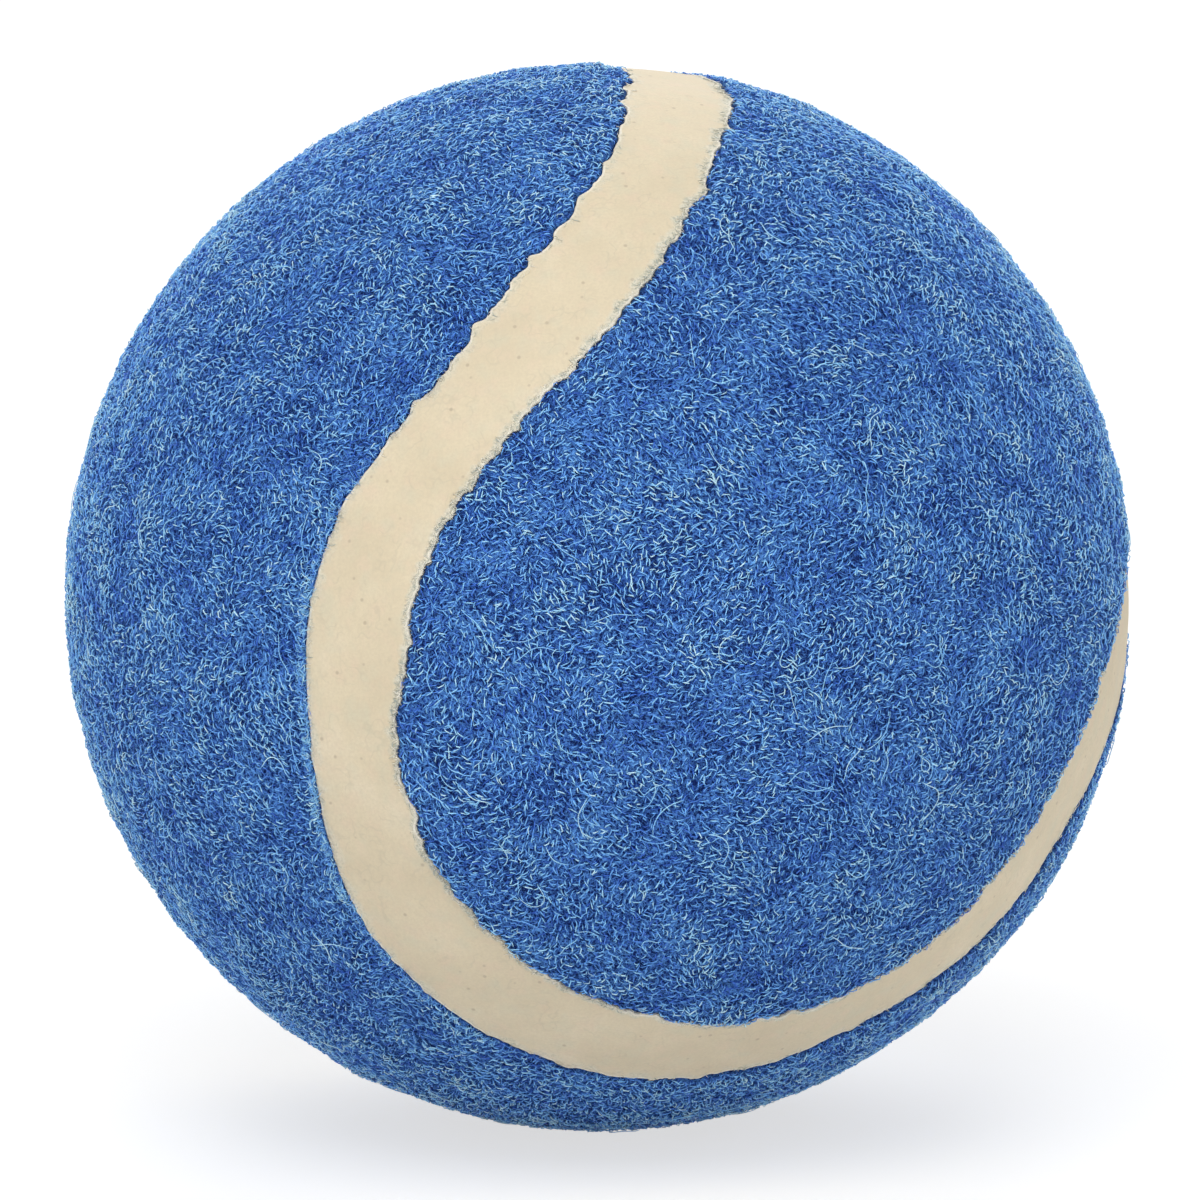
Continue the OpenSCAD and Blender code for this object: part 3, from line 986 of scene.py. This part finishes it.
def add_world(level):
    """Even light from all round, and white where it is seen as the background."""
    world = bpy.data.worlds.new("studio")
    world.use_nodes = True
    bpy.context.scene.world = world
    tree = world.node_tree
    tree.nodes.clear()
    light, white = (tree.nodes.new("ShaderNodeBackground") for _ in range(2))
    for node, strength in ((light, level), (white, 1)):
        node.inputs["Color"].default_value = (1, 1, 1, 1)
        node.inputs["Strength"].default_value = strength
    mix = tree.nodes.new("ShaderNodeMixShader")
    out = tree.nodes.new("ShaderNodeOutputWorld")
    tree.links.new(background_rays(tree), mix.inputs["Fac"])
    tree.links.new(light.outputs["Background"], mix.inputs[1])
    tree.links.new(white.outputs["Background"], mix.inputs[2])
    tree.links.new(mix.outputs["Shader"], out.inputs["Surface"])


def add_floor():
    """Pale floor just under the nap. Where it is seen, part of its white is its own, so that it
    meets the white background and keeps a soft shadow."""
    low = -(BALL_R + FLOOR_GAP) * MM
    mesh = bpy.data.meshes.new("floor")
    corners = [(x * FLOOR_HALF_W, y * FLOOR_HALF_W, low)
               for x, y in ((-1, -1), (1, -1), (1, 1), (-1, 1))]
    mesh.from_pydata(corners, [], [(0, 1, 2, 3)])
    floor = bpy.data.objects.new("floor", mesh)
    bpy.context.scene.collection.objects.link(floor)
    material = bpy.data.materials.new("pale floor")
    material.use_nodes = True
    tree = material.node_tree
    tree.nodes.clear()
    pale, seen = (tree.nodes.new("ShaderNodeBsdfDiffuse") for _ in range(2))
    pale.inputs["Color"].default_value = (FLOOR_PALE, FLOOR_PALE, FLOOR_PALE, 1)
    seen.inputs["Color"].default_value = (FLOOR_SHADED, FLOOR_SHADED, FLOOR_SHADED, 1)
    glow = tree.nodes.new("ShaderNodeEmission")
    glow.inputs["Strength"].default_value = FLOOR_WHITE
    both = tree.nodes.new("ShaderNodeAddShader")
    mix = tree.nodes.new("ShaderNodeMixShader")
    out = tree.nodes.new("ShaderNodeOutputMaterial")
    tree.links.new(seen.outputs["BSDF"], both.inputs[0])
    tree.links.new(glow.outputs["Emission"], both.inputs[1])
    tree.links.new(background_rays(tree), mix.inputs["Fac"])
    tree.links.new(pale.outputs["BSDF"], mix.inputs[1])
    tree.links.new(both.outputs["Shader"], mix.inputs[2])
    tree.links.new(mix.outputs["Shader"], out.inputs["Surface"])
    mesh.materials.append(material)


add_camera()
add_world(WORLD_LEVEL)
for soft_light in SOFT_LIGHTS:
    add_soft_light(*soft_light)
add_floor()
bpy.context.scene.view_settings.view_transform = "Standard"

# The pieces
felts = {LEFT: felt_panel("felt_left", LEFT), RIGHT: felt_panel("felt_right", RIGHT)}
band = rubber_band("band")
naps = {side: felt_nap(side) for side in (LEFT, RIGHT)}
naps[LEFT].append(loose_fibres("loose_left", LEFT))
naps[RIGHT].append(loose_fibres("loose_right", RIGHT))
fringes = {LEFT: soaked_fringe("fringe_left", LEFT), RIGHT: soaked_fringe("fringe_right", RIGHT)}

# Finishes
ground_material, nap_material = felt_ground_finish(), nap_finish()
band_material, fringe_material = band_finish(), fringe_finish()
dress(band, band_material)
for side in (LEFT, RIGHT):
    dress(felts[side], ground_material)
    dress(fringes[side], fringe_material)
    for piece in naps[side]:
        dress(piece, nap_material)
core_material = rubber_finish("core rubber", *CORE_SHADES, 0.6)
cement_material = rubber_finish("rubber cement", *CEMENT_SHADES, 0.35)
backing_material = rubber_finish("backing rubber", *BACKING_SHADES, 0.7)
for node, material in (("core_half_lower", core_material), ("core_half_upper", core_material),
                       ("core_joint_ring", cement_material), ("cover_cement", cement_material),
                       ("backing_left", backing_material), ("backing_right", backing_material)):
    dress(frame["nodes"][node], material)

# What each piece rides on; the part's nodes that the pieces replace are hidden
for side, node, backing in ((LEFT, "felt_panel_left", "backing_left"),
                            (RIGHT, "felt_panel_right", "backing_right")):
    for piece in (felts[side], *naps[side]):
        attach(piece, BODY)
    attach(fringes[side], BODY)
    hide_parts(node)
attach(band, BODY)
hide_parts("seam_band")
